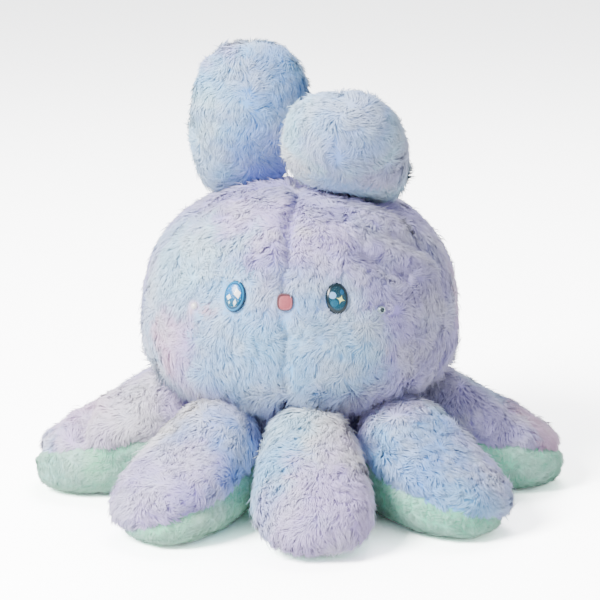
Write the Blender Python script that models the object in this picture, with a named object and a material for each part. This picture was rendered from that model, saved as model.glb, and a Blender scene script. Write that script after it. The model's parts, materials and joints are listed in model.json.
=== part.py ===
"""Stuffed octopus toy: a domed head on eight sewn arms, with two ears, safety eyes and cheek beads.

Units are metres, +Z is up and the toy stands on z = 0. The front arm points along -Y and +X is the
viewer's right. Azimuths are in degrees about +Z, 0 at the front (-Y) and positive towards +X.
"""

import math

import bmesh
import bpy
from mathutils import Matrix, Vector

# Clearances
SEAM_GAP = 0.0004  # between two panels that are sewn edge to edge
FILL_GAP = 0.0010  # between a panel and the stuffing in it
FIT_GAP = 0.0004  # round a shank, a washer or a plate that is pressed into the pile
SEWN_GAP = 0.0005  # between a limb's root and the head

# Fabric: backing and pressed pile together
FABRIC = 0.004

# Head: a dome over a narrower neck that the arms are sewn to, on a flat base
HEAD_RADIUS = 0.130
HEAD_WIDEST_Z = 0.137
HEAD_TOP_Z = 0.253
HEAD_FULLNESS = 2.5  # exponent of the dome's outline, 2 for an ellipse
RIM_Z = 0.101
RIM_ROLL = 0.018  # how far the lowest ring of the dome lies inside its widest ring
UNDER_CURVE = 0.75  # how far the roof over the arms keeps the rim's height before it drops to the neck
ARM_SEAM_RADIUS = 0.084
ARM_SEAM_Z = 0.048
NECK_STEP = 0.006  # from the arms' seam in to the neck, and to the side of the base
NECK_RADIUS = ARM_SEAM_RADIUS - NECK_STEP
NECK_RISE = 0.018  # from the arms' seam up to the neck
BASE_ROUNDING = 0.014
BASE_RADIUS = ARM_SEAM_RADIUS - NECK_STEP - BASE_ROUNDING
FACE_AZIMUTH = -5.5
SIDE_SEAM_ANGLE = 72.0  # from the face's middle to the seam on each side

# Arms: paddles that are thin at the sewn root, full at the crown and round at the tip
ARM_LENGTH = 0.137
ARM_WIDTH = 0.096
ARM_SECTOR = 37.9  # the angle that an arm's root may fill between its neighbours
ARM_CROWN = 0.0485  # height of the top panel above the seam
ARM_CROWN_FALL = 0.52  # the crown's slope down towards the tip
ARM_SEAM_DROP = 0.024  # from the root down to the tip
ARM_ROUNDNESS = {"root_width": 7.0, "root_thickness": 2.1, "tip": 2.6}  # exponents of its outlines
ARM_SECTION = 2.7  # exponent of its cross-section
ARM_HEEL = 4.0  # exponent of the underside's curve up to the root and the tip
ARM_BLEND = 8.0  # the higher, the tighter the turn from the sector's sides to the full width
ARM_AZIMUTHS = {
    "front": 3.5,
    "right_front": 43.0,
    "right": 90.0,
    "right_back": 135.0,
    "back": 180.0,
    "left_back": -134.0,
    "left": -86.0,
    "left_front": -35.0,
}

# Ears: flattened thumbs, alike but sewn on at their own place and lean
EAR_WIDTH = 0.100
EAR_THICKNESS = 0.062
EAR_ROOT_SHARE = 0.74  # the root's width as a share of the ear's
EAR_STAND = 0.0020  # height of the root above the dome, where the ear turns
EAR_WIDEST = 0.45  # where along the ear it reaches its full width
EAR_ROUNDNESS = {"root_width": 5.0, "root_thickness": 1.45, "tip": 2.6}
EAR_SECTION = 2.1
LEFT_EAR = {"root": (-0.041, 0.026), "azimuth": 0.0, "lean": 3.0, "length": 0.119}
RIGHT_EAR = {"root": (0.043, -0.002), "azimuth": -10.0, "lean": 42.0, "length": 0.108}

# Eyes: a clear oval lens on a coloured plate, whose shank is locked behind the fabric
EYE_WIDTH = 0.018
EYE_HEIGHT = 0.025
EYE_LENS = 0.0045
EYE_PLATE = 0.0022
EYE_SINK = 0.0030  # how deep the plate is pressed into the pile
EYE_ANGLE = 19.0
EYE_Z = 0.1865
SHANK_RADIUS = 0.0020
WASHER_RADIUS = 0.0070
WASHER_THICKNESS = 0.0014

# Cheek beads: half pearls on a stud, locked like the eyes
BEAD_RADIUS = 0.0030
BEAD_SIDE = 0.3  # the height of its straight side, and of its dome, in radii
BEAD_DOME = 1.2
BEAD_SINK = 0.0012
BEAD_ANGLE = 35.7
BEAD_Z = 0.1748
STUD_RADIUS = 0.0009
STUD_WASHER_RADIUS = 0.0035
STUD_WASHER_THICKNESS = 0.0010

# Mouth: an embroidered pad with rounded corners
MOUTH_WIDTH = 0.0130
MOUTH_HEIGHT = 0.0138
MOUTH_CORNER = 0.0045
MOUTH_THICKNESS = 0.0030
MOUTH_SINK = 0.0022
MOUTH_Z = 0.1847

WASHER_SET_BACK = 0.0015  # from the back of the fabric to the washer, clear of its curve
POCKET_GAP = 0.0010  # round a washer, in the stuffing
BORE_DEPTH = 3 * FABRIC  # deeper than the fabric, so that the bore goes right through
SHANK_END_GRIP = 2.0  # the shank ends this many washer thicknesses behind the washer's front

# Facets
DOME_STEPS = 9
RIM_STEPS = 4
UNDER_STEPS = 4
BASE_STEPS = 4
FRONT_GORE_STEPS = 7
BACK_GORE_STEPS = 8
ROUND_STEPS = 28
LIMB_STEPS = 9
LIMB_HALF_STEPS = 7
OVAL_STEPS = 24
SMALL_ROUND_STEPS = 12
BEAD_RINGS = 4
LENS_RINGS = 4

LAVENDER = (0.62, 0.58, 0.80)
SKY = (0.52, 0.70, 0.90)
PALE_SKY = (0.66, 0.82, 0.93)
LILAC = (0.72, 0.66, 0.84)
MINT = (0.60, 0.84, 0.74)
FILL_WHITE = (0.93, 0.93, 0.91)
IRIS_BLUE = (0.05, 0.42, 0.60)
LENS_CLEAR = (0.75, 0.93, 0.97)
MOUTH_PINK = (0.83, 0.50, 0.50)
PEARL = (0.93, 0.90, 0.88)
WASHER_WHITE = (0.90, 0.90, 0.88)


def clear_scene():
    for obj in list(bpy.data.objects):
        bpy.data.objects.remove(obj, do_unlink=True)


def make_material(name, colour, roughness, metallic=0.0):
    material = bpy.data.materials.new(name)
    material.use_nodes = True
    shader = material.node_tree.nodes["Principled BSDF"]
    shader.inputs["Base Color"].default_value = (*colour, 1.0)
    shader.inputs["Roughness"].default_value = roughness
    shader.inputs["Metallic"].default_value = metallic
    material.diffuse_color = (*colour, 1.0)
    return material


def make_object(name, points, faces, material, parent=None):
    mesh = bpy.data.meshes.new(name)
    mesh.from_pydata([tuple(point) for point in points], [], faces)
    shape = bmesh.new()
    shape.from_mesh(mesh)
    bmesh.ops.recalc_face_normals(shape, faces=shape.faces)
    shape.to_mesh(mesh)
    shape.free()
    mesh.shade_smooth()
    mesh.set_sharp_from_angle(angle=math.radians(40))
    mesh.materials.append(material)
    obj = bpy.data.objects.new(name, mesh)
    bpy.context.collection.objects.link(obj)
    obj.parent = parent
    return obj


def make_empty(name, matrix):
    empty = bpy.data.objects.new(name, None)
    bpy.context.collection.objects.link(empty)
    empty.matrix_world = matrix
    return empty


def direction(azimuth):
    angle = math.radians(azimuth)
    return Vector((math.sin(angle), -math.cos(angle), 0.0))


def superellipse(share, exponent):
    return max(0.0, 1.0 - abs(share) ** exponent) ** (1.0 / exponent)


def signed_power(value, exponent):
    return math.copysign(abs(value) ** exponent, value)


def bezier(start, pull_start, pull_end, end, share):
    rest = 1.0 - share
    return tuple(
        rest**3 * a + 3 * rest**2 * share * b + 3 * rest * share**2 * c + share**3 * d
        for a, b, c, d in zip(start, pull_start, pull_end, end, strict=True)
    )


# Head outline, as (radius, height) pairs


def dome_outline():
    """From the top of the head, over the widest ring, round the rim and under to the arms' seam."""
    outline = []
    height = HEAD_TOP_Z - HEAD_WIDEST_Z
    power = 2.0 / HEAD_FULLNESS
    for step in range(DOME_STEPS + 1):
        angle = math.pi / 2 * step / DOME_STEPS
        radius = HEAD_RADIUS * math.sin(angle) ** power
        outline.append((radius, HEAD_WIDEST_Z + height * math.cos(angle) ** power))
    fall = HEAD_WIDEST_Z - RIM_Z
    for step in range(1, RIM_STEPS + 1):
        angle = math.pi / 2 * step / RIM_STEPS
        radius = HEAD_RADIUS - RIM_ROLL * (1.0 - math.cos(angle) ** power)
        outline.append((radius, HEAD_WIDEST_Z - fall * math.sin(angle) ** power))
    rim = outline[-1]
    neck = (NECK_RADIUS, ARM_SEAM_Z + NECK_RISE)
    under_pull = ((rim[0] + 2 * neck[0]) / 3, rim[1])
    neck_pull = (neck[0], neck[1] + UNDER_CURVE * (rim[1] - neck[1]))
    for step in range(1, UNDER_STEPS + 1):
        outline.append(bezier(rim, under_pull, neck_pull, neck, step / UNDER_STEPS))
    outline.append((ARM_SEAM_RADIUS, ARM_SEAM_Z + SEAM_GAP / 2))
    return outline


def base_outline():
    """From the arms' seam down the side of the base and round to the edge of its flat bottom."""
    outline = [(ARM_SEAM_RADIUS, ARM_SEAM_Z - SEAM_GAP / 2)]
    side_foot = BASE_RADIUS + BASE_ROUNDING
    for step in range(BASE_STEPS + 1):
        angle = math.pi / 2 * step / BASE_STEPS
        radius = side_foot - BASE_ROUNDING * (1.0 - math.cos(angle))
        outline.append((radius, BASE_ROUNDING * (1.0 - math.sin(angle))))
    return outline


def inset(outline, amount, first_normal, last_normal):
    """The outline moved inwards by an amount, with the first and last normals given."""
    moved = []
    for index, (radius, height) in enumerate(outline):
        if index == 0:
            normal = Vector(first_normal)
        elif index == len(outline) - 1:
            normal = Vector(last_normal)
        else:
            before, after = Vector(outline[index - 1]), Vector(outline[index + 1])
            along = (after - before).normalized()
            normal = Vector((-along.y, along.x))
        moved.append((radius - normal.x * amount, height - normal.y * amount))
    return moved


UP, OUT, DOWN = (0.0, 1.0), (1.0, 0.0), (0.0, -1.0)


def dome_inset(amount):
    return inset(dome_outline(), amount, UP, OUT)


def base_inset(amount):
    return inset(base_outline(), amount, OUT, DOWN)


def ring_grid(outline, azimuths):
    return [[(*(direction(a) * radius).xy, height) for a in azimuths] for radius, height in outline]


def dome_radius_at(height):
    """The dome's radius at a height between its widest ring and its top."""
    share = (height - HEAD_WIDEST_Z) / (HEAD_TOP_Z - HEAD_WIDEST_Z)
    return HEAD_RADIUS * superellipse(share, HEAD_FULLNESS)


def dome_height_at(radius):
    return HEAD_WIDEST_Z + (HEAD_TOP_Z - HEAD_WIDEST_Z) * superellipse(radius / HEAD_RADIUS, HEAD_FULLNESS)


def dome_frame(azimuth, height):
    """A frame on the dome: +Z straight out of the cloth, +Y up it and +X to the viewer's right."""
    radius = dome_radius_at(height)
    step = 0.001
    slope = (dome_radius_at(height - step) - dome_radius_at(height + step)) / (2 * step)
    outward = direction(azimuth)
    normal = (outward + Vector((0, 0, slope))).normalized()
    right = Vector((0, 0, 1)).cross(outward).normalized()
    up = normal.cross(right)
    place = outward * radius + Vector((0, 0, height))
    rotation = Matrix((right, up, normal)).transposed().to_4x4()
    return Matrix.Translation(place) @ rotation


# Closed shells and solids


def skin(outer, inner):
    """Points and faces of a shell between two grids of the same size, closed along its edges.

    A row whose points coincide is a pole, and its faces are triangles.
    """
    points = []
    numbers = []
    for grid in (outer, inner):
        layer = []
        for row in grid:
            pole = all((Vector(p) - Vector(row[0])).length < 1e-7 for p in row)
            start = len(points)
            points.extend(row[:1] if pole else row)
            layer.append([start] * len(row) if pole else list(range(start, start + len(row))))
        numbers.append(layer)
    faces = []
    rows, columns = len(outer), len(outer[0])
    for layer, turned in zip(numbers, (False, True), strict=True):
        for i in range(rows - 1):
            for j in range(columns - 1):
                add_face(faces, layer[i][j : j + 2] + layer[i + 1][j : j + 2][::-1], turned)
    first, second = numbers
    for i in range(rows - 1):
        for j in (0, columns - 1):
            add_face(faces, [first[i][j], first[i + 1][j], second[i + 1][j], second[i][j]], False)
    for j in range(columns - 1):
        for i in (0, rows - 1):
            add_face(faces, [first[i][j], first[i][j + 1], second[i][j + 1], second[i][j]], False)
    return points, faces


def add_face(faces, corners, turned):
    """Adds a face as triangles from its first corner, so that nested grids fold along the same lines."""
    for k in range(1, len(corners) - 1):
        triangle = [corners[0], corners[k], corners[k + 1]]
        if len(set(triangle)) == 3:
            faces.append(triangle[::-1] if turned else triangle)


def solid_of_rings(rings):
    """A closed solid through rings of points; a ring of one point is a pole, an end ring is capped."""
    points = []
    numbers = []
    for ring in rings:
        numbers.append(list(range(len(points), len(points) + len(ring))))
        points.extend(ring)
    count = max(len(ring) for ring in rings)
    faces = []
    for low, high in zip(numbers, numbers[1:], strict=False):
        for k in range(count):
            a, b = low[k % len(low)], low[(k + 1) % count % len(low)]
            c, d = high[(k + 1) % count % len(high)], high[k % len(high)]
            add_face(faces, [a, b, c, d], False)
    for end in (numbers[0], numbers[-1]):
        if len(end) > 1:
            faces.append(list(end))
    return points, faces


def tube_of_rings(outer, inner):
    """A closed body between two stacks of rings of the same size, open along its middle."""
    points = []
    numbers = []
    for ring in outer + inner[::-1]:
        numbers.append(list(range(len(points), len(points) + len(ring))))
        points.extend(ring)
    count = len(numbers[0])
    faces = []
    for low, high in zip(numbers, numbers[1:] + numbers[:1], strict=True):
        for k in range(count):
            faces.append([low[k], low[(k + 1) % count], high[(k + 1) % count], high[k]])
    return points, faces


def circle(radius, height, steps, wide=1.0):
    angles = [2 * math.pi * k / steps for k in range(steps)]
    return [(radius * wide * math.cos(a), radius * math.sin(a), height) for a in angles]


# Head


def make_gore(name, from_azimuth, to_azimuth, steps, material):
    """One upright panel of the head, from the top to the arms' seam."""
    span = to_azimuth - from_azimuth
    azimuths = [from_azimuth + span * k / steps for k in range(steps + 1)]
    outer = ring_grid(dome_outline(), azimuths)
    inner = ring_grid(dome_inset(FABRIC), azimuths)
    half = math.radians(span / 2)
    apart = direction(from_azimuth + span / 2) * (SEAM_GAP / 2 / math.sin(half))
    points, faces = skin(outer, inner)
    return make_object(name, [Vector(p) + apart for p in points], faces, material)


def make_head(materials):
    front, right, left = FACE_AZIMUTH, FACE_AZIMUTH + SIDE_SEAM_ANGLE, FACE_AZIMUTH - SIDE_SEAM_ANGLE
    behind = FACE_AZIMUTH + 180.0
    gores = {
        "head_front_left": make_gore("head_front_left", left, front, FRONT_GORE_STEPS, materials["sky"]),
        "head_front_right": make_gore("head_front_right", front, right, FRONT_GORE_STEPS, materials["lilac"]),
        "head_back_right": make_gore("head_back_right", right, behind, BACK_GORE_STEPS, materials["lilac"]),
        "head_back_left": make_gore("head_back_left", behind, left + 360, BACK_GORE_STEPS, materials["sky"]),
    }
    azimuths = [360.0 * k / ROUND_STEPS for k in range(ROUND_STEPS)]
    outer = ring_grid(base_outline(), azimuths)
    inner = ring_grid(base_inset(FABRIC), azimuths)
    points, faces = cup(outer, inner)
    make_object("head_base", points, faces, materials["mint"])
    depth = FABRIC + FILL_GAP
    top, *upper = dome_inset(depth)
    lower = base_inset(depth)
    rings = [[(0.0, 0.0, top[1])]] + ring_grid(upper + lower[1:], azimuths)
    points, faces = solid_of_rings(rings)
    gores["head_stuffing"] = make_object("head_stuffing", points, faces, materials["fill"])
    return gores


def cup(outer, inner):
    """A round shell that is open at its first ring and closed by a flat disc at its last."""
    points = [p for ring in outer for p in ring] + [p for ring in inner for p in ring]
    count, rings = len(outer[0]), len(outer)
    faces = []
    for layer in (0, rings * count):
        for i in range(rings - 1):
            for k in range(count):
                a = layer + i * count
                ring_next = (k + 1) % count
                faces.append([a + k, a + ring_next, a + count + ring_next, a + count + k])
        last = layer + (rings - 1) * count
        faces.append([last + k for k in range(count)])
    for k in range(count):
        ring_next = (k + 1) % count
        faces.append([k, ring_next, rings * count + ring_next, rings * count + k])
    return points, faces


# Limbs: arms and ears share one way of building


def limb_section(shape, share, depth):
    """Half width, height above and below the seam, seam height and place along a limb.

    The share runs from -1 at the root to 1 at the tip, and depth is how far inside the skin.
    """
    along = shape["length"] / 2 * (1 + share) - depth * share
    roundness = shape["roundness"]
    full = superellipse(share, roundness["root_width" if share < 0 else "tip"])
    thick = superellipse(share, roundness["root_thickness" if share < 0 else "tip"])
    width = (shape["half_width"](along) - depth) * full
    seam = -shape["seam_drop"] * (1 - (1 - along / shape["length"]) ** 2)
    above = (shape["above"] - depth) * (1 - shape["fall"] * share) * thick
    if shape["floor"] is None:
        below = (shape["below"] - depth) * thick
    else:
        below = (shape["floor"] + seam - depth) * superellipse(share, ARM_HEEL)
    return width, above, below, seam, along


def limb_point(shape, share, angle, depth):
    width, above, below, seam, along = limb_section(shape, share, depth)
    power = 2.0 / shape["section_power"]
    across = width * signed_power(math.cos(angle), power)
    up = signed_power(math.sin(angle), power) * (above if math.sin(angle) > 0 else below)
    return (across, along + shape["root_line"](across) * (1 - share) / 2, seam + up)


def limb_shares(steps):
    return [-math.cos(math.pi * k / steps) for k in range(steps + 1)]


def make_limb_panel(name, shape, top, material, parent):
    """The upper or lower half of a limb's skin."""
    lift = SEAM_GAP / 2 if top else -SEAM_GAP / 2
    start = 0.0 if top else math.pi
    angles = [start + math.pi * k / LIMB_HALF_STEPS for k in range(LIMB_HALF_STEPS + 1)]
    grids = []
    for depth in (0.0, FABRIC):
        rows = [[limb_point(shape, s, a, depth) for a in angles] for s in limb_shares(LIMB_STEPS)]
        grids.append([[(x, y, z + lift) for x, y, z in row] for row in rows])
    points, faces = skin(*grids)
    return make_object(name, points, faces, material, parent)


def make_limb_stuffing(name, shape, material, parent):
    depth = FABRIC + FILL_GAP
    angles = [math.pi * k / LIMB_HALF_STEPS for k in range(2 * LIMB_HALF_STEPS)]
    shares = limb_shares(LIMB_STEPS)
    rings = [[limb_point(shape, s, a, depth) for a in angles] for s in shares[1:-1]]
    ends = [[limb_point(shape, s, 0.0, depth)] for s in (-1.0, 1.0)]
    points, faces = solid_of_rings([ends[0], *rings, ends[1]])
    return make_object(name, points, faces, material, parent)


def smaller(first, second):
    """The smaller of two lengths, rounded where they cross."""
    return (first**-ARM_BLEND + second**-ARM_BLEND) ** (-1 / ARM_BLEND)


def arm_half_width(along):
    """Half the arm's width, which near the root is what its sector leaves."""
    sector = (ARM_SEAM_RADIUS + SEWN_GAP + along) * math.sin(math.radians(ARM_SECTOR / 2))
    return smaller(sector, ARM_WIDTH / 2)


def arm_shape():
    return {
        "length": ARM_LENGTH,
        "half_width": arm_half_width,
        "above": ARM_CROWN,
        "fall": ARM_CROWN_FALL,
        "below": 0.0,
        "floor": ARM_SEAM_Z,
        "seam_drop": ARM_SEAM_DROP,
        "root_line": lambda across: 0.0,
        "roundness": ARM_ROUNDNESS,
        "section_power": ARM_SECTION,
    }


def make_arm(place, azimuth, materials):
    """An arm on an empty at the middle of its sewn root, whose +Y points along the arm."""
    outward = direction(azimuth)
    root = outward * (ARM_SEAM_RADIUS + SEWN_GAP) + Vector((0, 0, ARM_SEAM_Z))
    across = outward.cross(Vector((0, 0, 1)))
    rotation = Matrix((across, outward, Vector((0, 0, 1)))).transposed().to_4x4()
    hinge = make_empty(f"hinge_arm_{place}", Matrix.Translation(root) @ rotation)
    shape = arm_shape()
    make_limb_panel(f"arm_{place}_top", shape, True, materials["lavender"], hinge)
    make_limb_panel(f"arm_{place}_underside", shape, False, materials["mint"], hinge)
    make_limb_stuffing(f"arm_{place}_stuffing", shape, materials["fill"], hinge)


def ear_shape(ear):
    root_distance = math.hypot(*ear["root"])
    inwards = -math.copysign(1.0, ear["root"][0])

    def half_width(along):
        share = min(1.0, along / (EAR_WIDEST * ear["length"]))
        return EAR_WIDTH / 2 * (EAR_ROOT_SHARE + (1 - EAR_ROOT_SHARE) * math.sin(share * math.pi / 2))

    def root_line(across):
        """How far the dome lies above or below the root's middle, at a place along the root."""
        distance = abs(root_distance - inwards * across)
        return dome_height_at(distance) - dome_height_at(root_distance)

    return {
        "length": ear["length"],
        "half_width": half_width,
        "above": EAR_THICKNESS / 2,
        "fall": 0.0,
        "below": EAR_THICKNESS / 2,
        "floor": None,
        "seam_drop": 0.0,
        "root_line": root_line,
        "roundness": EAR_ROUNDNESS,
        "section_power": EAR_SECTION,
    }


def make_ear(side, ear, materials):
    """An ear on an empty at its root: +Y along the ear, +Z out of its front."""
    spot = Vector((*ear["root"], 0.0))
    height = dome_height_at(spot.length) + EAR_STAND
    toward = direction(ear["azimuth"])
    lean = math.radians(ear["lean"])
    across = Vector((0, 0, 1)).cross(toward)
    along = toward * math.sin(lean) + Vector((0, 0, math.cos(lean)))
    front = across.cross(along)
    rotation = Matrix((across, along, front)).transposed().to_4x4()
    hinge = make_empty(f"hinge_{side}_ear", Matrix.Translation(spot + Vector((0, 0, height))) @ rotation)
    shape = ear_shape(ear)
    make_limb_panel(f"{side}_ear_front", shape, True, materials["pale_sky"], hinge)
    make_limb_panel(f"{side}_ear_back", shape, False, materials["sky"], hinge)
    make_limb_stuffing(f"{side}_ear_stuffing", shape, materials["fill"], hinge)


# Eyes, mouth and beads


def cut_out(obj, points, faces, matrix, name):
    """Cuts a hidden solid out of an object."""
    cutter = make_object(name, points, faces, obj.data.materials[0])
    cutter.matrix_world = matrix
    cutter.hide_render = True
    cutter.display_type = "WIRE"
    boolean = obj.modifiers.new(name, "BOOLEAN")
    boolean.operation = "DIFFERENCE"
    boolean.solver = "EXACT"
    boolean.object = cutter


def make_washer(name, radius, hole, thickness, frame, back, material):
    """A ring behind the fabric, its front face at the given depth."""
    outer = [circle(radius, -back, OVAL_STEPS // 2), circle(radius, -back - thickness, OVAL_STEPS // 2)]
    inner = [circle(hole, -back, OVAL_STEPS // 2), circle(hole, -back - thickness, OVAL_STEPS // 2)]
    points, faces = tube_of_rings(outer, inner)
    washer = make_object(name, points, faces, material)
    washer.matrix_world = frame
    return washer


def make_eye(side, panel, stuffing, materials):
    turn = EYE_ANGLE if side == "right" else -EYE_ANGLE
    frame = dome_frame(FACE_AZIMUTH + turn, EYE_Z)
    wide = EYE_WIDTH / EYE_HEIGHT
    radius = EYE_HEIGHT / 2
    plate_top = EYE_PLATE - EYE_SINK
    behind = FABRIC + WASHER_SET_BACK
    shank_end = -behind - SHANK_END_GRIP * WASHER_THICKNESS

    shank = [circle(SHANK_RADIUS, h, OVAL_STEPS) for h in (shank_end, -EYE_SINK)]
    plate = [circle(radius, h, OVAL_STEPS, wide) for h in (-EYE_SINK, plate_top)]
    iris = make_object(f"{side}_eye_plate", *solid_of_rings(shank + plate), materials["iris"])
    iris.matrix_world = frame

    rings = []
    for step in range(LENS_RINGS):
        angle = math.pi / 2 * step / LENS_RINGS
        height = plate_top + FIT_GAP + EYE_LENS * math.sin(angle)
        rings.append(circle(radius * math.cos(angle), height, OVAL_STEPS, wide))
    rings.append([(0.0, 0.0, plate_top + FIT_GAP + EYE_LENS)])
    lens = make_object(f"{side}_eye_lens", *solid_of_rings(rings), materials["lens"])
    lens.matrix_world = frame

    hole = SHANK_RADIUS + FIT_GAP
    make_washer(
        f"{side}_eye_washer", WASHER_RADIUS, hole, WASHER_THICKNESS, frame, behind, materials["washer"]
    )
    seat_radius = radius + FIT_GAP
    seat_wide = (EYE_WIDTH / 2 + FIT_GAP) / seat_radius
    seat = [circle(seat_radius, h, OVAL_STEPS, seat_wide) for h in (-EYE_SINK - FIT_GAP, EYE_LENS)]
    cut_out(panel, *solid_of_rings(seat), frame, f"seat_{side}_eye")
    bore = [circle(hole, h, OVAL_STEPS) for h in (-BORE_DEPTH, EYE_LENS)]
    cut_out(panel, *solid_of_rings(bore), frame, f"bore_{side}_eye")
    cut_pocket(stuffing, frame, WASHER_RADIUS, shank_end, f"pocket_{side}_eye")


def cut_pocket(stuffing, frame, washer_radius, deepest, name):
    """Room in the stuffing for a washer and the end of its shank."""
    radius = washer_radius + POCKET_GAP
    pocket = [circle(radius, h, OVAL_STEPS // 2) for h in (deepest - POCKET_GAP, FABRIC)]
    cut_out(stuffing, *solid_of_rings(pocket), frame, name)


def make_bead(side, panel, stuffing, materials):
    turn = BEAD_ANGLE if side == "right" else -BEAD_ANGLE
    frame = dome_frame(FACE_AZIMUTH + turn, BEAD_Z)
    behind = FABRIC + WASHER_SET_BACK
    stud_end = -behind - SHANK_END_GRIP * STUD_WASHER_THICKNESS
    rings = [circle(STUD_RADIUS, h, SMALL_ROUND_STEPS) for h in (stud_end, -BEAD_SINK)]
    for step in range(BEAD_RINGS):
        angle = math.pi / 2 * step / BEAD_RINGS
        height = -BEAD_SINK + BEAD_RADIUS * (BEAD_SIDE + BEAD_DOME * math.sin(angle))
        rings.append(circle(BEAD_RADIUS * math.cos(angle), height, SMALL_ROUND_STEPS))
    rings.insert(2, circle(BEAD_RADIUS, -BEAD_SINK, SMALL_ROUND_STEPS))
    rings.append([(0.0, 0.0, -BEAD_SINK + (BEAD_SIDE + BEAD_DOME) * BEAD_RADIUS)])
    bead = make_object(f"{side}_cheek_bead", *solid_of_rings(rings), materials["pearl"])
    bead.matrix_world = frame
    hole = STUD_RADIUS + FIT_GAP
    make_washer(
        f"{side}_bead_washer",
        STUD_WASHER_RADIUS,
        hole,
        STUD_WASHER_THICKNESS,
        frame,
        behind,
        materials["washer"],
    )
    seat = [circle(BEAD_RADIUS + FIT_GAP, h, OVAL_STEPS // 2) for h in (-BEAD_SINK - FIT_GAP, EYE_LENS)]
    cut_out(panel, *solid_of_rings(seat), frame, f"seat_{side}_bead")
    bore = [circle(hole, h, SMALL_ROUND_STEPS) for h in (-BORE_DEPTH, EYE_LENS)]
    cut_out(panel, *solid_of_rings(bore), frame, f"bore_{side}_bead")
    cut_pocket(stuffing, frame, STUD_WASHER_RADIUS, stud_end, f"pocket_{side}_bead")


def rounded_square(width, height, corner, level):
    points = []
    for x_side, y_side, start in ((1, 1, 0), (-1, 1, 90), (-1, -1, 180), (1, -1, 270)):
        centre = (x_side * (width / 2 - corner), y_side * (height / 2 - corner))
        for turn in (0, 30, 60, 90):
            angle = math.radians(start + turn)
            points.append(
                (centre[0] + corner * math.cos(angle), centre[1] + corner * math.sin(angle), level)
            )
    return points


def make_mouth(panels, materials):
    """A sewn pad across the front seam, pressed into both panels' pile."""
    frame = dome_frame(FACE_AZIMUTH, MOUTH_Z)
    top = MOUTH_THICKNESS - MOUTH_SINK
    edge = MOUTH_THICKNESS / 4
    rings = [
        rounded_square(MOUTH_WIDTH, MOUTH_HEIGHT, MOUTH_CORNER, -MOUTH_SINK),
        rounded_square(MOUTH_WIDTH, MOUTH_HEIGHT, MOUTH_CORNER, top - edge),
        rounded_square(MOUTH_WIDTH - 2 * edge, MOUTH_HEIGHT - 2 * edge, MOUTH_CORNER - edge, top),
    ]
    mouth = make_object("mouth_pad", *solid_of_rings(rings), materials["mouth"])
    mouth.matrix_world = frame
    size = (MOUTH_WIDTH + 2 * FIT_GAP, MOUTH_HEIGHT + 2 * FIT_GAP, MOUTH_CORNER + FIT_GAP)
    seat = [rounded_square(*size, h) for h in (-MOUTH_SINK - FIT_GAP, EYE_LENS)]
    for panel in panels:
        cut_out(panel, *solid_of_rings(seat), frame, f"seat_mouth_{panel.name}")


def make_materials():
    return {
        "lavender": make_material("lavender_fur", LAVENDER, 0.9),
        "sky": make_material("sky_fur", SKY, 0.9),
        "pale_sky": make_material("pale_sky_fur", PALE_SKY, 0.9),
        "lilac": make_material("lilac_fur", LILAC, 0.9),
        "mint": make_material("mint_plush", MINT, 0.9),
        "fill": make_material("polyester_fill", FILL_WHITE, 1.0),
        "iris": make_material("iris_plastic", IRIS_BLUE, 0.25),
        "lens": make_material("lens_plastic", LENS_CLEAR, 0.08),
        "mouth": make_material("mouth_thread", MOUTH_PINK, 0.8),
        "pearl": make_material("pearl_plastic", PEARL, 0.2),
        "washer": make_material("washer_plastic", WASHER_WHITE, 0.5),
    }


def main():
    clear_scene()
    materials = make_materials()
    head = make_head(materials)
    for place, azimuth in ARM_AZIMUTHS.items():
        make_arm(place, azimuth, materials)
    make_ear("left", LEFT_EAR, materials)
    make_ear("right", RIGHT_EAR, materials)
    for side in ("left", "right"):
        panel = head[f"head_front_{side}"]
        make_eye(side, panel, head["head_stuffing"], materials)
        make_bead(side, panel, head["head_stuffing"], materials)
    make_mouth((head["head_front_left"], head["head_front_right"]), materials)


main()
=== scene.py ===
"""Stuffed octopus toy: puffed cloth skins, combed pile and glossy eyes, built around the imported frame."""

import json
import math

import bpy
import numpy as np
from mathutils import Matrix, Vector
from mathutils.bvhtree import BVHTree
from mathutils.kdtree import KDTree


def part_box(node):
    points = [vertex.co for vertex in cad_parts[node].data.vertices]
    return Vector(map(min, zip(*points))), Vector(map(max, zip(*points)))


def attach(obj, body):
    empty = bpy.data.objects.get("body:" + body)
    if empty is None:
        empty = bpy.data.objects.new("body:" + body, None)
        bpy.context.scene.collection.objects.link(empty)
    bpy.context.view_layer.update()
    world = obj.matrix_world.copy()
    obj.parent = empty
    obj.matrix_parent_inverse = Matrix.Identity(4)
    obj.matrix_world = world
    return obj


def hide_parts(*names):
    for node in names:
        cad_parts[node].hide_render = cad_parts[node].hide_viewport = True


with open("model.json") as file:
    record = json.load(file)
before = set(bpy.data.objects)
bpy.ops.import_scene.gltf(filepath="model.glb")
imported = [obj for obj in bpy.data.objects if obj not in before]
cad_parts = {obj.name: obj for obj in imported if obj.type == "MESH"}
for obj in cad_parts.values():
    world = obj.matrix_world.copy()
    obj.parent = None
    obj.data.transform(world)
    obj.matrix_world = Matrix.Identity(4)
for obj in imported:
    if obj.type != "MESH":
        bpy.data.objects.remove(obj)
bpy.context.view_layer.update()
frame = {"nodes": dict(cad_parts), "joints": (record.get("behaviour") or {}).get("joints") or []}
JOINTS = {joint["child"]: joint for joint in frame["joints"]}
PLACES = ("front", "right_front", "right", "right_back", "back", "left_back", "left", "left_front")
HEAD_PANELS = ("head_front_left", "head_front_right", "head_back_left", "head_back_right")

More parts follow.
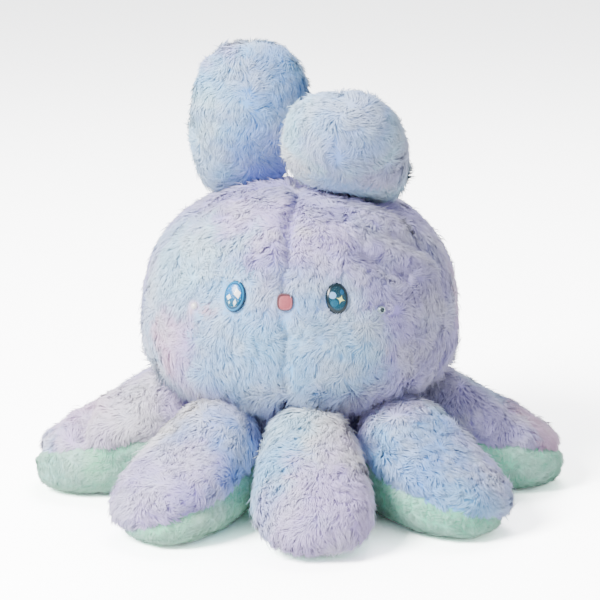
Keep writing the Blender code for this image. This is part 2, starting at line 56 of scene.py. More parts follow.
# Cloth
LIMB_VOXEL = 0.005
HEAD_VOXEL = 0.006
PRESSURE = 4.0
CLOTH_FRAMES = 20
HEAD_CAP = 0.0040  # the furthest that a point of each skin moves as it's blown up
ARM_CAP = 0.0030
EAR_CAP = 0.0035
FITTING_FADE = 0.020  # over this distance from a fitting the cloth comes free
FLOOR_CLEARANCE = 0.0006

# Seams: how deep each draws the skin in, and how wide
HEAD_SEAM = (0.0030, 0.0045)
CROWN_SEAM = (0.0035, 0.0070)
ARM_SEAM = (0.0035, 0.0060)
EAR_SEAM = (0.0020, 0.0050)

# Pile
LOCK_SINK = 0.0010  # how deep a lock's root sits in the cloth
LOCK_SHARES = (0.0, 0.5, 1.0)
LOCK_WIDTHS = (0.8, 1.0, 0.0)
CLUMP_SPACING = 0.0070
GATHER = 0.45  # how far a lock is drawn to the middle of its clump
STRAY_SHARE = 0.06  # of the locks, which stand up and don't gather
STRAY_RISE = 1.7
LONG = {"length": 0.0095, "width": 0.00095, "rise": 0.30}  # pile on the head, arms and ears
SHORT = {"length": 0.0042, "width": 0.00090, "rise": 0.30}  # nap under the arms
SPACING = 0.00115
ROUNDING = 0.55  # how far a lock's edges turn from the skin's own facing, which keeps the coat soft

# Dyes, and colours of painted shade
ICE = "#ABE2FF"
SKY = "#79C2F9"
BLUE = "#609FF2"
PERIWINKLE = "#7694F3"
LAVENDER = "#A297E2"
# lavender darkened with painted shade, for the parts on the toy's right, away from the key light
LILAC = "#C8B4F2"
LAVENDER_IN_PAINTED_SHADE = "#9A95CA"
CREAM = "#F3EFEA"
PINK = "#F6AFD6"
BLUSH = "#FA839B"
MINT = "#74CFAF"
LIME = "#C3E194"
FROST = "#F1F3FA"  # a pale cloud over every dye
HAZE = "#9FB8E4"  # a cool cloud over every dye
# the colour of painted shade deep in the pile, at the locks' roots
ROOT_SHADE = "#6E7CA6"
TIP_WHITE = "#FFFFFF"

# Seeds of the random draws, to which an arm or an ear adds its own number
DYE_SEEDS = {"head": 20, "base": 21, "arm": 40, "underside": 60, "ear": 80}
COAT_SEEDS = {"head": 7, "arm": 100, "ear": 500}
COMB_SEEDS = {"head": 300, "base": 340, "arm": 200, "ear": 520}


def linear(code):
    """A hex colour as linear red, green and blue."""
    values = [int(code[k : k + 2], 16) / 255 for k in (1, 3, 5)]
    return np.array([v / 12.92 if v <= 0.04045 else ((v + 0.055) / 1.055) ** 2.4 for v in values])


def unit(vectors):
    return vectors / np.maximum(np.linalg.norm(vectors, axis=-1, keepdims=True), 1e-9)


def smooth_step(value):
    value = np.clip(value, 0.0, 1.0)
    return value * value * (3 - 2 * value)


def smooth_noise(points, wavelength, seed, waves=7):
    """A random vector at each point that changes smoothly over about one wavelength."""
    rng = np.random.default_rng(seed)
    total = np.zeros((len(points), 3))
    for axis in range(3):
        for _ in range(waves):
            heading = unit(rng.normal(size=3))
            rate = 2 * math.pi / (wavelength * rng.uniform(0.7, 1.6))
            total[:, axis] += np.sin(points @ heading * rate + rng.uniform(0, 2 * math.pi))
    return total * math.sqrt(2 / waves)


# Meshes


def get_points(mesh):
    flat = np.empty(len(mesh.vertices) * 3, np.float32)
    mesh.vertices.foreach_get("co", flat)
    return flat.reshape(-1, 3).astype(float)


def set_points(mesh, points):
    mesh.vertices.foreach_set("co", points.astype(np.float32).ravel())
    mesh.update()


def get_normals(mesh):
    flat = np.empty(len(mesh.vertices) * 3, np.float32)
    mesh.vertex_normals.foreach_get("vector", flat)
    return flat.reshape(-1, 3).astype(float)


def add_object(name, mesh):
    obj = bpy.data.objects.new(name, mesh)
    bpy.context.scene.collection.objects.link(obj)
    return obj


def mesh_from_arrays(name, points, faces):
    mesh = bpy.data.meshes.new(name)
    mesh.from_pydata([tuple(p) for p in points], [], faces)
    mesh.update()
    mesh.shade_smooth()
    return mesh


def apply_modifiers(obj):
    evaluated = obj.evaluated_get(bpy.context.evaluated_depsgraph_get())
    mesh = bpy.data.meshes.new_from_object(evaluated)
    obj.modifiers.clear()
    obj.data = mesh


def dress(mesh, material):
    """Gives a mesh one material in place of what it had."""
    mesh.materials.clear()
    mesh.materials.append(material)


def set_attribute(mesh, name, values):
    kind = "FLOAT_VECTOR" if values.ndim == 2 else "FLOAT"
    attribute = mesh.attributes.new(name, kind, "POINT")
    field = "vector" if values.ndim == 2 else "value"
    attribute.data.foreach_set(field, values.astype(np.float32).ravel())


# Cloth skins


def joined_mesh(name, nodes):
    """The surfaces of several CAD nodes in one mesh."""
    points, faces = [], []
    for node in nodes:
        source = frame["nodes"][node].data
        start = len(points)
        points.extend(tuple(v.co) for v in source.vertices)
        faces.extend([start + k for k in polygon.vertices] for polygon in source.polygons)
    return mesh_from_arrays(name, points, faces)


def puff(obj, pressure, cap, fittings):
    """Blows a closed skin up as cloth. No point moves further than the cap, or much near a fitting."""
    scene = bpy.context.scene
    rest = get_points(obj.data)
    cloth = obj.modifiers.new("cloth", "CLOTH")
    cloth.settings.quality = 4
    cloth.settings.mass = 0.2
    cloth.settings.tension_stiffness = 12
    cloth.settings.compression_stiffness = 12
    cloth.settings.bending_stiffness = 0.4
    cloth.settings.use_pressure = True
    cloth.settings.uniform_pressure_force = pressure
    cloth.settings.effector_weights.gravity = 0
    cloth.point_cache.frame_start = 1
    cloth.point_cache.frame_end = CLOTH_FRAMES
    for step in range(1, CLOTH_FRAMES + 1):
        scene.frame_set(step)
    evaluated = obj.evaluated_get(bpy.context.evaluated_depsgraph_get())
    moved = get_points(evaluated.data) - rest
    moved -= moved.mean(axis=0)
    distance = np.linalg.norm(moved, axis=1, keepdims=True)
    moved *= np.minimum(1.0, cap / np.maximum(distance, 1e-9))
    for centre, radius in fittings:
        away = np.linalg.norm(rest - centre, axis=1) - radius
        moved *= smooth_step(away / FITTING_FADE)[:, None]
    obj.modifiers.remove(cloth)
    set_points(obj.data, rest + moved)
    scene.frame_set(1)


def soft_skin(name, nodes, voxel, cap, fittings=()):
    """One closed skin over several CAD solids, puffed and smoothed like stuffed cloth."""
    obj = add_object(name, joined_mesh(name, nodes))
    remesh = obj.modifiers.new("remesh", "REMESH")
    remesh.mode = "VOXEL"
    remesh.voxel_size = voxel
    apply_modifiers(obj)
    puff(obj, PRESSURE, cap, fittings)
    smooth = obj.modifiers.new("smooth", "SMOOTH")
    smooth.iterations = 3
    smooth.factor = 0.5
    finer = obj.modifiers.new("finer", "SUBSURF")
    finer.levels = 1
    finer.render_levels = 1
    apply_modifiers(obj)
    points = get_points(obj.data)
    points[:, 2] = np.maximum(points[:, 2], FLOOR_CLEARANCE)
    set_points(obj.data, points)
    obj.data.shade_smooth()
    return obj


def panel_trees(nodes):
    trees = []
    for node in nodes:
        mesh = frame["nodes"][node].data
        corners = [tuple(v.co) for v in mesh.vertices]
        trees.append(BVHTree.FromPolygons(corners, [tuple(p.vertices) for p in mesh.polygons]))
    return trees


def nearest_panels(points, nodes):
    """Which CAD panel each point belongs to, and how far the point is from the seam with another."""
    far = np.stack(
        [[tree.find_nearest(Vector(p), 1.0)[3] for p in points] for tree in panel_trees(nodes)]
    )
    order = np.sort(far, axis=0)
    return np.argmin(far, axis=0), order[1] - order[0]


def press_seams(obj, seam_distance, depth, width, where=None):
    """Draws the skin in along its seams."""
    points, normals = get_points(obj.data), get_normals(obj.data)
    fall = np.exp(-((seam_distance / width) ** 2)) * depth
    if where is not None:
        fall = fall * where
    set_points(obj.data, points - normals * fall[:, None])


def press_fold(obj, start, end, depth, width):
    """Presses a straight valley into the skin between two points, with a soft ridge on each side."""
    points, normals = get_points(obj.data), get_normals(obj.data)
    start, along = np.array(start), np.array(end) - np.array(start)
    share = np.clip((points - start) @ along / (along @ along), 0.0, 1.0)
    distance = np.linalg.norm(points - start - share[:, None] * along, axis=1) / width
    ends = smooth_step(6 * share + 0.25) * smooth_step(6 * (1 - share) + 0.25)
    shape = np.exp(-(distance**2)) - 0.35 * np.exp(-((distance - 1.9) ** 2) / 0.8)
    set_points(obj.data, points - normals * (shape * ends * depth)[:, None])


# Dye and painted shade


def paint(places, ground, patches, seed):
    """Colours for points: a ground with soft, uneven patches, centred in the same units."""
    wander = smooth_noise(places, 0.045, seed)[:, : places.shape[1]] * 0.007
    wander += smooth_noise(places, 0.016, seed + 1)[:, : places.shape[1]] * 0.003
    colour = np.tile(linear(ground), (len(places), 1))
    for centre, radius, dye_and_shade, strength in patches:
        distance = np.linalg.norm(places + wander - np.array(centre), axis=1)
        weight = strength * smooth_step(1.25 - distance / radius)
        colour += (linear(dye_and_shade) - colour) * weight[:, None]
    return colour


# Pile


def scatter(mesh, spacing, rng):
    """Evenly spread places on a mesh: the point of each, its normal, and the nearest corner of the face
    that it lies on.
    """
    mesh.calc_loop_triangles()
    count = len(mesh.loop_triangles)
    corners = np.empty(count * 3, np.int32)
    mesh.loop_triangles.foreach_get("vertices", corners)
    corners = corners.reshape(-1, 3)
    points, normals = get_points(mesh), get_normals(mesh)
    a, b, c = (points[corners[:, k]] for k in range(3))
    area = np.linalg.norm(np.cross(b - a, c - a), axis=1) / 2
    total = np.cumsum(area)
    number = int(total[-1] / spacing**2)
    marks = (np.arange(number) + rng.uniform(0, 1, number)) / number * total[-1]
    face = np.minimum(np.searchsorted(total, marks), count - 1)
    first, second = rng.uniform(0, 1, (2, number))
    over = first + second > 1
    first[over], second[over] = 1 - first[over], 1 - second[over]
    weights = np.stack([1 - first - second, first, second], axis=1)
    place = (points[corners[face]] * weights[:, :, None]).sum(axis=1)
    normal = unit((normals[corners[face]] * weights[:, :, None]).sum(axis=1))
    nearest = corners[face, np.argmax(weights, axis=1)]
    return place, normal, nearest


def clump_of(roots, rng):
    """For each root, the root that its clump gathers round."""
    order = rng.permutation(len(roots))
    chosen = []
    taken = set()
    for k in order:
        cell = tuple(np.floor(roots[k] / CLUMP_SPACING).astype(int))
        if cell not in taken:
            taken.add(cell)
            chosen.append(k)
    tree = KDTree(len(chosen))
    for index, k in enumerate(chosen):
        tree.insert(roots[k], index)
    tree.balance()
    nearest = np.array([tree.find(root)[1] for root in roots])
    return np.array(chosen)[nearest], nearest, len(chosen)


def comb(roots, normals, lean, seed, tousle):
    """The way each lock lies: the lean laid along the skin, stirred by smooth noise."""
    stirred = unit(lean) + smooth_noise(roots, 0.038, seed) * tousle
    stirred += smooth_noise(roots, 0.015, seed + 1) * tousle * 0.5
    stirred -= (stirred * normals).sum(axis=1, keepdims=True) * normals
    return unit(stirred)


def grow(name, roots, normals, lay, fibre, trim, colour, rng):
    """A coat of closed, tapered locks that gather into wavy clumps. Trim shortens each lock."""
    count = len(roots)
    length, width, rise = fibre["length"] * trim, np.full(count, fibre["width"]), fibre["rise"]
    centre, group, groups = clump_of(roots, rng)
    turn = rng.normal(0, 0.30, groups)[group] + rng.normal(0, 0.16, count)
    side = np.cross(normals, lay)
    lay = lay * np.cos(turn)[:, None] + side * np.sin(turn)[:, None]
    side = np.cross(normals, lay)
    length = length * rng.uniform(0.82, 1.15, count) * rng.uniform(0.88, 1.12, groups)[group]
    rise = rise * rng.uniform(0.75, 1.25, count) * rng.uniform(0.72, 1.30, groups)[group]
    stray = rng.uniform(0, 1, count) < STRAY_SHARE
    rise = np.where(stray, rise * STRAY_RISE, rise)
    phase = rng.uniform(0, 2 * math.pi, groups)[group] + rng.normal(0, 0.5, count)
    gather = (roots[centre] - roots) * np.where(stray, 0.0, GATHER)[:, None]
    gather -= (gather * normals).sum(axis=1, keepdims=True) * normals

    rings, facings = [], []
    for share, thickness in zip(LOCK_SHARES, LOCK_WIDTHS, strict=True):
        run = length * (0.50 * share + 0.45 * share**2)
        height = length * rise * (1.75 * share - 0.90 * share**2) - LOCK_SINK * (1 - share)
        wave = length * 0.10 * np.sin(phase + 3.6 * share) * share
        spine = roots + lay * run[:, None] + normals * height[:, None] + side * wave[:, None]
        spine = spine + gather * share**1.4
        half = width[:, None] / 2 * thickness
        soft = normals + lay * 0.3 * share
        if thickness == 0.0:
            rings.append(spine)
            facings.append(soft)
        else:
            rings.extend((spine - side * half, spine + side * half, spine + normals * half * 0.9))
            facings.extend((soft - side * ROUNDING, soft + side * ROUNDING, soft))
    points = np.stack(rings, axis=1)
    points[:, :, 2] = np.maximum(points[:, :, 2], 0.0002 + 0.0004 * rng.uniform(0, 1, (count, 1)))
    mesh = lock_mesh(name, points)

    per_lock = points.shape[1]
    facing = unit(np.stack(facings, axis=1)).reshape(-1, 3)
    free = mesh.attributes.new("custom_normal", "FLOAT_VECTOR", "POINT")
    free.data.foreach_set("vector", facing.astype(np.float32).ravel())
    tips = np.repeat(LOCK_SHARES[:-1], 3).tolist() + [1.0]
    shade = np.repeat(rng.normal(0, 1, count) * 0.6 + rng.normal(0, 1, groups)[group] * 0.6, per_lock)
    set_attribute(mesh, "tip", np.tile(tips, count))
    set_attribute(mesh, "shade", shade)
    set_attribute(mesh, "dye_and_shade", np.repeat(colour, per_lock, axis=0))
    return mesh


def lock_mesh(name, points):
    """A mesh of locks, each three-sided, closed at its root and drawn to a point."""
    count, per_lock = points.shape[:2]
    triangles = [(0, 2, 1)]
    quads = []
    for ring in range(0, per_lock - 4, 3):
        for k in range(3):
            n = (k + 1) % 3
            quads.append((ring + k, ring + n, ring + 3 + n, ring + 3 + k))
    last = per_lock - 4
    triangles += [(last + k, last + (k + 1) % 3, per_lock - 1) for k in range(3)]
    starts = np.arange(count)[:, None] * per_lock
    quad_loops = (starts + np.array(quads).ravel()[None]).reshape(count, -1)
    tri_loops = (starts + np.array(triangles).ravel()[None]).reshape(count, -1)
    loops = np.concatenate([quad_loops.ravel(), tri_loops.ravel()]).astype(np.int32)
    sizes = np.concatenate([np.full(count * len(quads), 4), np.full(count * len(triangles), 3)])
    begins = np.concatenate([[0], np.cumsum(sizes)[:-1]]).astype(np.int32)
    mesh = bpy.data.meshes.new(name)
    mesh.vertices.add(count * per_lock)
    mesh.vertices.foreach_set("co", points.astype(np.float32).ravel())
    mesh.loops.add(len(loops))
    mesh.loops.foreach_set("vertex_index", loops)
    mesh.polygons.add(len(sizes))
    mesh.polygons.foreach_set("loop_start", begins)
    mesh.update(calc_edges=True)
    mesh.shade_smooth()
    return mesh


def map_locks(mesh, flat):
    """Lays each lock out as a small leaf at its root's place on a flat layout, given from 0 to 1."""
    leaf = np.array([(-1, 0), (1, 0), (0, 0.6), (-0.9, 1.2), (0.9, 1.2), (0, 1.8), (0, 3)]) * 0.0022
    flat = 0.015 + 0.965 * flat
    layout = (flat[:, None, :] + leaf[None]).reshape(-1, 2)
    corner = np.empty(len(mesh.loops), np.int32)
    mesh.loops.foreach_get("vertex_index", corner)
    layer = mesh.uv_layers.new(name="OFBake")
    layer.uv.foreach_set("vector", np.clip(layout[corner], 0, 1).astype(np.float32).ravel())


def spread(values):
    low, high = values.min(axis=0), values.max(axis=0)
    return (values - low) / np.maximum(high - low, 1e-6)


# Materials


def new_material(name, roughness, **sockets):
    material = bpy.data.materials.new(name)
    material.use_nodes = True
    shader = material.node_tree.nodes["Principled BSDF"]
    shader.inputs["Roughness"].default_value = roughness
    for socket, value in sockets.items():
        shader.inputs[socket.replace("_", " ")].default_value = value
    return material, material.node_tree.nodes, material.node_tree.links, shader


def maths(nodes, links, operation, first, second):
    node = nodes.new("ShaderNodeMath")
    node.operation = operation
    for socket, value in zip(node.inputs, (first, second), strict=False):
        if isinstance(value, (int, float)):
            socket.default_value = value
        else:
            links.new(value, socket)
    return node.outputs[0]


def mix(nodes, links, factor, first, second, blend="MIX"):
    node = nodes.new("ShaderNodeMix")
    node.data_type = "RGBA"
    node.blend_type = blend
    sockets = (node.inputs["Factor"], node.inputs[6], node.inputs[7])
    for socket, value in zip(sockets, (factor, first, second), strict=True):
        if isinstance(value, (int, float)):
            socket.default_value = value
        elif isinstance(value, str):
            socket.default_value = (*linear(value), 1.0)
        else:
            links.new(value, socket)
    return node.outputs[2]


def noise(nodes, links, position, scale, detail=3.0):
    node = nodes.new("ShaderNodeTexNoise")
    node.inputs["Scale"].default_value = scale
    node.inputs["Detail"].default_value = detail
    links.new(position, node.inputs["Vector"])
    return node.outputs["Fac"]


def ramp(nodes, links, value, low, high):
    node = nodes.new("ShaderNodeMapRange")
    node.interpolation_type = "SMOOTHSTEP"
    node.inputs["From Min"].default_value = low
    node.inputs["From Max"].default_value = high
    links.new(value, node.inputs["Value"])
    return node.outputs["Result"]


def attribute(nodes, name, output):
    node = nodes.new("ShaderNodeAttribute")
    node.attribute_name = name
    return node.outputs[output]


def dyed(name, nap, painted_root_shade, mottle, bump_scale):
    """Dyed fibre: the painted dye, with patches of painted shade, mottled and streaked; painted shade
    darkens it towards the roots, and it is paler at the tips.
    """
    material, nodes, links, shader = new_material(
        name, 0.85, Sheen_Weight=0.35, Sheen_Roughness=0.6, Specular_IOR_Level=0.2
    )
    position = nodes.new("ShaderNodeTexCoord").outputs["Object"]
    colour = attribute(nodes, "dye_and_shade", "Vector")
    cloud = ramp(nodes, links, noise(nodes, links, position, 34.0), 0.42, 0.68)
    colour = mix(nodes, links, maths(nodes, links, "MULTIPLY", cloud, mottle), colour, FROST)
    cool = ramp(nodes, links, noise(nodes, links, position, 21.0, 2.0), 0.50, 0.72)
    colour = mix(nodes, links, maths(nodes, links, "MULTIPLY", cool, mottle * 0.8), colour, HAZE)
    if nap:
        tip = attribute(nodes, "tip", "Fac")
        # painted shade: the fibre darkens towards its roots, deep in the pile where the locks shade each
        # other
        deep = maths(nodes, links, "SUBTRACT", 1.0, tip)
        colour = mix(nodes, links, maths(nodes, links, "MULTIPLY", deep, painted_root_shade), colour, ROOT_SHADE)
        pale = maths(nodes, links, "MULTIPLY", tip, 0.20)
        colour = mix(nodes, links, pale, colour, TIP_WHITE)
        strand = maths(nodes, links, "MULTIPLY", attribute(nodes, "shade", "Fac"), 0.055)
        strand = maths(nodes, links, "ADD", strand, 1.0)
        grey = nodes.new("ShaderNodeCombineColor")
        for socket in grey.inputs[:3]:
            links.new(strand, socket)
        colour = mix(nodes, links, 1.0, colour, grey.outputs[0], "MULTIPLY")
    links.new(colour, shader.inputs["Base Color"])
    bump = nodes.new("ShaderNodeBump")
    bump.inputs["Strength"].default_value = 0.4
    bump.inputs["Distance"].default_value = 0.0006
    links.new(noise(nodes, links, position, bump_scale, 4.0), bump.inputs["Height"])
    links.new(bump.outputs["Normal"], shader.inputs["Normal"])
    return material


PILE = dyed("dyed_long_pile_with_painted_root_shade", True, 0.16, 0.35, 1400.0)
NAP = dyed("dyed_short_nap_with_painted_root_shade", True, 0.14, 0.20, 1600.0)
CLOTH = dyed("dyed_backing", False, 0.0, 0.35, 900.0)


# Arms


def arm_axes(body):
    """An arm's root, its direction across (seen from its tip, to the right), and out along it."""
    joint = JOINTS[body]
    root = np.array(joint["pos_m"], float)
    across = np.array(joint["axis"], float)
    out = np.cross(across, (0.0, 0.0, 1.0))
    out = out if out @ root > 0 else -out
    return root, np.cross((0.0, 0.0, 1.0), out), out


ARM_WIDTH = 0.096
ARM_LENGTH = 0.137
ARM_BARE = 0.012  # no pile grows this close to an arm's root, under the head
FLOOR_CONTACT = 0.0015  # nor on what faces down this close to the floor
SHOULDER = 0.0050  # how far the fill bulges up where an arm meets the head
SHOULDER_RISE = 0.015  # the bulge has grown this far out from the arm's root
SHOULDER_END = 0.075  # and has gone by here,
SHOULDER_FADE = 0.045  # after falling over this distance
SEAM_FALL = 0.024  # from an arm's root to its tip

# How much further the seam dips at the tip, and its slope across an arm rolled about its length
SEAM_ROLL = {
    "front": (0.020, 0.0),
    "right_front": (0.004, -0.30),
    "left_front": (0.006, 0.28),
    "right": (-0.008, -0.26),
    "left": (-0.010, 0.30),
}

FOLD_WIDTH = 0.009
# Creases: two ends, as shares of an arm's half width and length and a height over its root, and a depth
ARM_FOLDS = {
    "right_front": ((((-0.9, 0.30, 0.015), (0.9, 0.42, 0.020)), 0.008),),
    "left": ((((-0.2, 0.62, 0.022), (0.9, 0.72, 0.000)), 0.006),),
    "right": ((((0.2, 0.55, 0.022), (-0.9, 0.66, 0.000)), 0.004),),
}

# A ground, then patches of ((across, along), radius, dye, strength), across from -1 at the left edge to 1;
# the right arm's ground is lavender in painted shade
ARM_COLOURS = {
    "front": (
        LILAC,
        [
            ((-0.4, 0.35), 0.045, ICE, 0.9),
            ((0.5, 0.30), 0.04, CREAM, 0.7),
            ((-0.8, 0.6), 0.04, SKY, 1.0),
        ],
    ),
    "right_front": (
        SKY,
        [
            ((0.0, 0.20), 0.03, LILAC, 0.9),
            ((-0.4, 0.6), 0.05, BLUE, 0.9),
            ((0.6, 0.75), 0.04, LAVENDER, 0.8),
        ],
    ),
    "right": (
        # painted shade: the right arm's ground is lavender darkened as if in shade
        LAVENDER_IN_PAINTED_SHADE,
        [
            ((0.0, 1.0), 0.05, PINK, 0.55),
            ((-0.6, 0.5), 0.04, LAVENDER, 0.7),
            ((0.7, 0.4), 0.04, SKY, 0.6),
        ],
    ),
    "right_back": (
        LAVENDER,
        [((0.3, 0.8), 0.05, SKY, 0.8), ((-0.4, 0.4), 0.05, LILAC, 0.8)],
    ),
    "back": (
        LILAC,
        [((0.4, 0.5), 0.05, BLUE, 0.7), ((-0.5, 0.8), 0.05, PINK, 0.5), ((0.0, 0.3), 0.04, ICE, 0.7)],
    ),
    "left_back": (
        LILAC,
        [((-0.3, 0.8), 0.06, PINK, 0.5), ((0.5, 0.5), 0.05, LAVENDER, 0.7), ((0.3, 0.9), 0.04, ICE, 0.6)],
    ),
    "left": (
        LILAC,
        [((0.0, 1.0), 0.045, SKY, 0.8), ((0.0, 0.7), 0.04, PINK, 0.45), ((0.5, 0.4), 0.05, CREAM, 0.6)],
    ),
    "left_front": (
        LAVENDER,
        [
            ((-0.6, 0.35), 0.05, CREAM, 0.85),
            ((0.8, 0.35), 0.05, BLUE, 0.9),
            ((-0.2, 0.9), 0.05, LILAC, 0.9),
        ],
    ),
}


def lift_shoulder(skin, root, out):
    points, normals = get_points(skin.data), get_normals(skin.data)
    along = (points - root) @ out
    share = smooth_step(along / SHOULDER_RISE) * smooth_step((SHOULDER_END - along) / SHOULDER_FADE)
    points[:, 2] += SHOULDER * share * smooth_step(normals[:, 2] * 1.6)
    set_points(skin.data, points)


def roll_seam(points, root, across, out, dip, roll):
    """Which side of the seam each point is on, 0 above and 1 below, and how far from it."""
    along = np.clip((points - root) @ out, 0.0, ARM_LENGTH)
    fall = SEAM_FALL * (1 - (1 - along / ARM_LENGTH) ** 2)
    seam = root[2] - fall - dip * along / ARM_LENGTH + roll * (points - root) @ across
    return (points[:, 2] < seam).astype(int), np.abs(points[:, 2] - seam)


def make_arm(place, number):
    body = f"arm_{place}"
    panels = [f"{body}_top", f"{body}_underside"]
    root, across, out = arm_axes(body)
    skin = soft_skin(f"{body}_skin", [*panels, f"{body}_stuffing"], LIMB_VOXEL, ARM_CAP)
    lift_shoulder(skin, root, out)
    label, seam = roll_seam(get_points(skin.data), root, across, out, *SEAM_ROLL.get(place, (0.0, 0.0)))
    along = (get_points(skin.data) - root) @ out
    press_seams(skin, seam, *ARM_SEAM, smooth_step((along - 0.01) / 0.02))
    for fold, depth in ARM_FOLDS.get(place, ()):
        ends = [root + across * u * ARM_WIDTH / 2 + out * v * ARM_LENGTH + (0, 0, z) for u, v, z in fold]
        press_fold(skin, *ends, depth, FOLD_WIDTH)
    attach(skin, body)
    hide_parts(*panels, f"{body}_stuffing")

    def local(points):
        return np.stack([(points - root) @ across, (points - root) @ out], axis=1)

    def colour_of(points, label):
        ground, patches = ARM_COLOURS[place]
        scaled = [((u * ARM_WIDTH / 2, v * ARM_LENGTH, 0.0), r, d, s) for (u, v), r, d, s in patches]
        flat = np.column_stack([local(points), np.zeros(len(points))])
        top = paint(flat, ground, scaled, DYE_SEEDS["arm"] + number)
        lime = 0.5 if place == "right" else 0.15
        under = paint(flat, MINT, [((0.03, 0.10, 0.0), 0.05, LIME, lime)], DYE_SEEDS["underside"])
        return np.where((label == 0)[:, None], top, under)

    set_attribute(skin.data, "dye_and_shade", colour_of(get_points(skin.data), label))
    dress(skin.data, CLOTH)

    rng = np.random.default_rng(COAT_SEEDS["arm"] + number)
    roots, normals, nearest = scatter(skin.data, SPACING, rng)
    where = label[nearest]
    edge = seam[nearest]
    flat = local(roots)
    hidden = (flat[:, 1] < ARM_BARE) | ((roots[:, 2] < FLOOR_CONTACT) & (normals[:, 2] < -0.8))
    for side, kind in ((0, "pile"), (1, "nap")):
        keep = (where == side) & ~hidden
        p, n = roots[keep], normals[keep]
        lean = out[None] + np.array([0, 0, -0.7]) + 0.25 * across[None] * np.sign(flat[keep, :1])
        lay = comb(p, n, lean, COMB_SEEDS["arm"] + number, 0.55)
        trim = 0.55 + 0.45 * smooth_step(edge[keep] / 0.008)
        fibre = LONG if side == 0 else SHORT
        colour = colour_of(p, where[keep])
        mesh = grow(f"{body}_{kind}", p, n, lay, fibre, trim, colour, rng)
        map_locks(mesh, spread(flat[keep]))
        mesh.materials.append(PILE if side == 0 else NAP)
        coat = add_object(f"{body}_{kind}", mesh)
        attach(coat, body)


# Head


def around(azimuth, radius, height):
    """A point at an azimuth in degrees, 0 at the front and positive to the viewer's right."""
    angle = math.radians(azimuth)
    return (radius * math.sin(angle), -radius * math.cos(angle), height)


# Each patch is a centre, a radius, a dye and a strength; the grey patches on the right side are painted
# shade
HEAD_PATCHES = [
    (around(-70, 0.125, 0.22), 0.06, ICE, 0.8),
    (around(-50, 0.125, 0.21), 0.055, ICE, 0.9),
    (around(-68, 0.13, 0.13), 0.05, ICE, 0.7),
    (around(-25, 0.08, 0.25), 0.05, LILAC, 0.9),
    (around(-38, 0.11, 0.235), 0.030, ICE, 0.9),
    (around(-12, 0.10, 0.250), 0.025, CREAM, 0.7),
    (around(10, 0.10, 0.245), 0.030, LILAC, 0.8),
    # painted shade on the head's right side, away from the key light
    (around(62, 0.12, 0.20), 0.05, LAVENDER_IN_PAINTED_SHADE, 0.8),
    (around(55, 0.13, 0.13), 0.04, LAVENDER_IN_PAINTED_SHADE, 0.6),
    (around(84, 0.13, 0.17), 0.03, PINK, 0.5),
    (around(-30, 0.125, 0.18), 0.045, SKY, 0.9),
    (around(-5, 0.13, 0.15), 0.06, SKY, 1.0),
    (around(12, 0.13, 0.13), 0.045, SKY, 0.8),
    (around(-25, 0.13, 0.12), 0.04, SKY, 0.8),
    (around(-48, 0.13, 0.135), 0.035, LILAC, 0.6),
    (around(22, 0.12, 0.165), 0.03, ICE, 0.6),
    (around(-50, 0.13, 0.155), 0.030, PINK, 0.45),
    (around(-62, 0.13, 0.140), 0.022, BLUSH, 0.35),
    (around(-41.2, 0.124, 0.1748), 0.011, BLUSH, 0.60),
    (around(30.2, 0.124, 0.168), 0.010, BLUSH, 0.45),
    (around(130, 0.12, 0.17), 0.06, SKY, 0.8),
    (around(180, 0.12, 0.14), 0.06, ICE, 0.7),
    (around(-130, 0.12, 0.19), 0.06, BLUE, 0.6),
    (around(160, 0.10, 0.23), 0.05, PINK, 0.4),
]


# Each fold has two ends, a depth and a width
HEAD_FOLDS = (
    (around(20, 0.11, 0.235), around(48, 0.13, 0.195), 0.009, 0.012),
    (around(35, 0.10, 0.243), around(66, 0.13, 0.21), 0.008, 0.011),
    (around(-9, 0.12, 0.226), around(-19, 0.125, 0.212), 0.008, 0.008),
)
EYE_REACH = 0.0100  # what the pile and the puffing keep clear of, from each fitting's middle
BEAD_REACH = 0.0055
MOUTH_REACH = 0.0070
CLEARING = 0.008  # the pile reaches its full length over this distance
BACK_SHARE = 0.8  # of the locks, which is all that the back panels carry
HEAD_BARE = 0.056  # no pile grows below this height, behind the arms
HANG_HEIGHT = 0.116  # below this the pile turns to hang straight down
RIM_HEIGHT = 0.128  # below this it's longer


def keep_clear(points, length, centre, radius, low):
    """Shortens locks near a fitting, so that the pile doesn't hide it."""
    distance = np.linalg.norm(points - np.array(centre), axis=1)
    return length * (low + (1 - low) * smooth_step((distance - radius) / CLEARING))


def head_fittings():
    """The middle and the reach of each eye, bead and the mouth."""
    found = []
    for node, reach in (("eye_lens", EYE_REACH), ("cheek_bead", BEAD_REACH)):
        for side in ("left", "right"):
            low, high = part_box(f"{side}_{node}")
            found.append((np.array((low + high) / 2), reach))
    low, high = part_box("mouth_pad")
    found.append((np.array((low + high) / 2), MOUTH_REACH))
    return found


CROWN_HEIGHT = 0.165  # the pile above and below this is two pieces on each panel


def head_pile(name, points, normals, seam_edge, fittings, colour, rng):
    """Pile that lies down and outwards, hangs at the rim, and is short at the seams and fittings."""
    lean = np.array([0, 0, -1.0]) + 0.5 * unit(points * np.array([1, 1, 0]))
    lay = comb(points, normals, lean, COMB_SEEDS["head"], 0.6)
    hang = smooth_step((HANG_HEIGHT - points[:, 2]) / 0.018)[:, None]
    lay = unit(lay * (1 - hang) + np.array([0, 0, -1.0]) * hang)
    trim = 0.38 + 0.62 * smooth_step(seam_edge / 0.008)
    trim *= 1 + 0.35 * smooth_step((RIM_HEIGHT - points[:, 2]) / 0.02)
    for centre, radius in fittings:
        trim = keep_clear(points, trim, centre, radius + 0.001, 0.22)
    return grow(name, points, normals, lay, LONG, trim, colour, rng)


